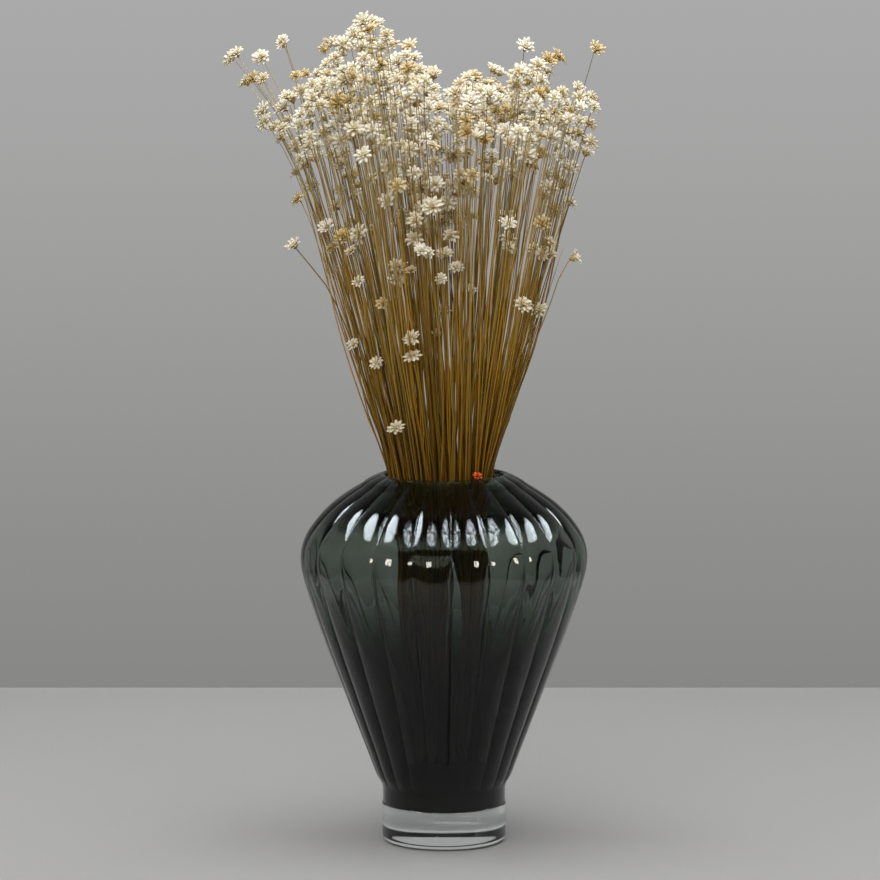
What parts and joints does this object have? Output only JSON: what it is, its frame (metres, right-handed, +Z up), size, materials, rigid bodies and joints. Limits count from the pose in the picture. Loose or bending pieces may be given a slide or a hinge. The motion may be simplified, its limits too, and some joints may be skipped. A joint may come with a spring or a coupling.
{
  "type": "vase of dried glixia",
  "caption": "Ribbed smoked-glass vase on a clear glass foot, filled with a dense fan of thin golden-brown dried stems that each end in a small cream star-shaped everlasting flower.",
  "frame": {"origin": "centre of the foot's flat underside, where the vase stands on the table", "axes": "+Z is up along the vase's axis; -Y is the side the picture was taken from; +X is to the right in the picture"},
  "size_m": [0.2207, 0.191, 0.491],
  "materials": {
    "smoked_glass": "glossy ribbed blown glass, dark grey-green smoke tint, darker where it is thick",
    "clear_glass": "polished clear solid glass",
    "dried_glixia": "dry matt golden-brown stems with cream papery star flowers",
    "red_bud": "dry matt orange-red bud"
  },
  "bodies": {
    "root": {"vase_body": "smoked_glass", "vase_foot": "clear_glass", "glixia_tuft_01": "dried_glixia", "glixia_tuft_02": "dried_glixia", "glixia_tuft_03": "dried_glixia", "glixia_tuft_04": "dried_glixia", "glixia_tuft_05": "dried_glixia", "glixia_tuft_06": "dried_glixia", "glixia_tuft_07": "dried_glixia", "glixia_tuft_08": "dried_glixia", "glixia_tuft_09": "dried_glixia", "glixia_tuft_10": "dried_glixia", "glixia_tuft_11": "dried_glixia", "glixia_tuft_12": "dried_glixia", "glixia_tuft_13": "dried_glixia", "glixia_tuft_14": "dried_glixia", "glixia_tuft_15": "dried_glixia", "glixia_tuft_16": "dried_glixia", "glixia_tuft_17": "dried_glixia", "glixia_tuft_18": "dried_glixia", "glixia_tuft_19": "dried_glixia", "glixia_tuft_20": "dried_glixia", "glixia_tuft_21": "dried_glixia", "glixia_tuft_22": "dried_glixia", "glixia_tuft_23": "dried_glixia", "glixia_tuft_24": "dried_glixia", "glixia_tuft_25": "dried_glixia", "glixia_tuft_26": "dried_glixia", "glixia_tuft_27": "dried_glixia", "glixia_tuft_28": "dried_glixia", "glixia_tuft_29": "dried_glixia", "glixia_tuft_30": "dried_glixia", "glixia_tuft_31": "dried_glixia", "glixia_tuft_32": "dried_glixia", "glixia_tuft_33": "dried_glixia", "glixia_tuft_34": "dried_glixia", "glixia_tuft_35": "dried_glixia", "glixia_tuft_36": "dried_glixia", "glixia_tuft_37": "dried_glixia", "glixia_tuft_38": "dried_glixia", "glixia_tuft_39": "dried_glixia", "glixia_tuft_40": "dried_glixia", "glixia_tuft_41": "dried_glixia", "glixia_tuft_42": "dried_glixia", "glixia_tuft_43": "dried_glixia", "glixia_tuft_44": "dried_glixia", "glixia_tuft_45": "dried_glixia", "glixia_tuft_46": "dried_glixia", "glixia_tuft_47": "dried_glixia", "glixia_tuft_48": "dried_glixia", "glixia_tuft_49": "dried_glixia", "glixia_tuft_50": "dried_glixia", "glixia_tuft_51": "dried_glixia", "glixia_tuft_52": "dried_glixia", "glixia_tuft_53": "dried_glixia", "glixia_tuft_54": "dried_glixia", "glixia_tuft_55": "dried_glixia", "glixia_tuft_56": "dried_glixia", "red_bud_stem": "red_bud"}
  },
  "joints": []
}
